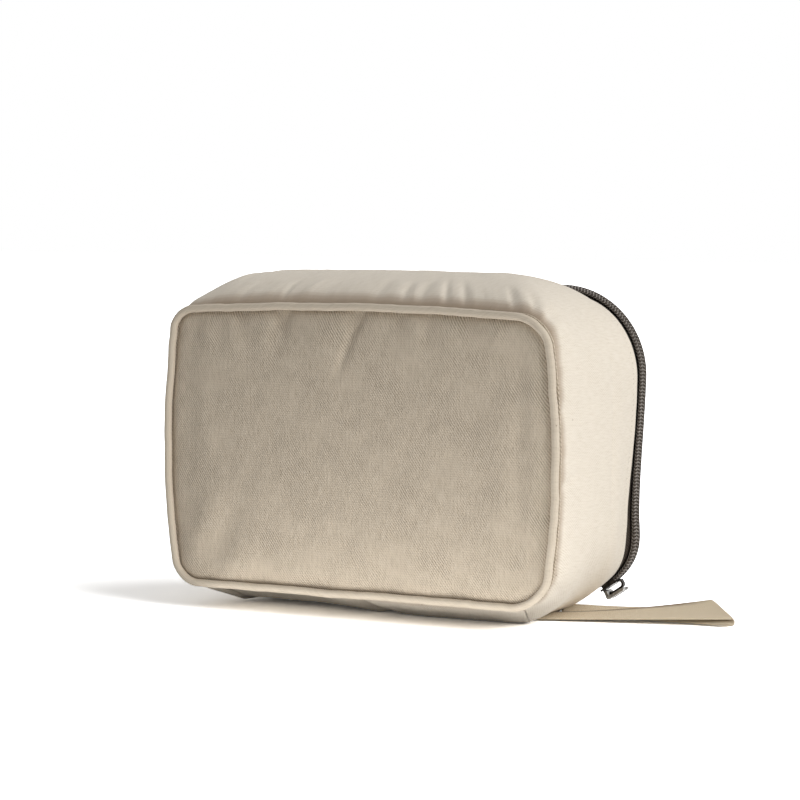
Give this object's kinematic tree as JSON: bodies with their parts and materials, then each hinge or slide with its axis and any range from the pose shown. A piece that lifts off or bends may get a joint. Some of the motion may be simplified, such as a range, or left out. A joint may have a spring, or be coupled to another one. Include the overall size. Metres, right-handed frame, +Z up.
{
  "type": "toiletry bag",
  "caption": "Boxy padded canvas toiletry bag with a piped front panel, a zip-around back lid hinged along the base, a zip slider with a pull, and a flat webbing loop at one side.",
  "frame": {"origin": "middle of the base, on the surface that the bag stands on", "axes": "+X across the bag towards the side with the webbing loop, +Y from the piped front panel to the lid at the back, +Z up"},
  "size_m": [0.3235, 0.1323, 0.1943],
  "materials": {
    "canvas": "beige cotton twill, matt",
    "cream_canvas": "cream cotton canvas, matt",
    "foam": "thin white foam padding",
    "cord": "white cotton filler cord",
    "lining": "plain woven lining",
    "binding": "folded bias tape",
    "zip_tape": "dark brown woven tape",
    "zip_coil": "gunmetal-coloured coil",
    "zip_metal": "dark nickel plate, worn",
    "webbing": "natural cotton herringbone webbing"
  },
  "bodies": {
    "bag_body": {"front_panel": "canvas", "front_padding": "foam", "front_lining": "lining", "front_piping_cover": "canvas", "front_piping_cord": "cord", "zip_gusset": "cream_canvas", "base_gusset": "cream_canvas", "gusset_padding": "foam", "gusset_lining": "lining", "front_seam_binding": "binding", "zip_tape_front": "zip_tape", "zip_coil_front": "zip_coil", "zip_top_stop_front": "zip_metal", "zip_bottom_stop": "zip_metal", "hinge_strip": "cream_canvas", "strap_loop": "webbing"},
    "lid": {"back_panel": "cream_canvas", "back_padding": "foam", "back_lining": "lining", "zip_tape_lid": "zip_tape", "zip_coil_lid": "zip_coil", "zip_top_stop_lid": "zip_metal"},
    "slider": {"slider_body": "zip_metal"},
    "pull": {"slider_pull": "zip_metal"}
  },
  "joints": [
    {"name": "lid_hinge", "type": "hinge", "parent": "bag_body", "child": "lid", "pos_m": [0, 0.0634, 0.008], "axis": [-1, 0, 0], "range_deg": [0, 90], "deforming": ["hinge_strip", "zip_tape_lid", "zip_coil_lid", "zip_top_stop_lid"]},
    {"name": "zip_slider", "type": "hinge", "parent": "bag_body", "child": "slider", "pos_m": [0.0805, 0.052, 0.052], "axis": [0, -1, 0], "range_deg": [0, 45], "deforming": ["zip_coil_front", "zip_coil_lid"]},
    {"name": "pull_swing", "type": "hinge", "parent": "slider", "child": "pull", "pos_m": [0.10402, 0.052, 0.00972], "axis": [0, 1, 0], "range_deg": [0, 65]}
  ]
}
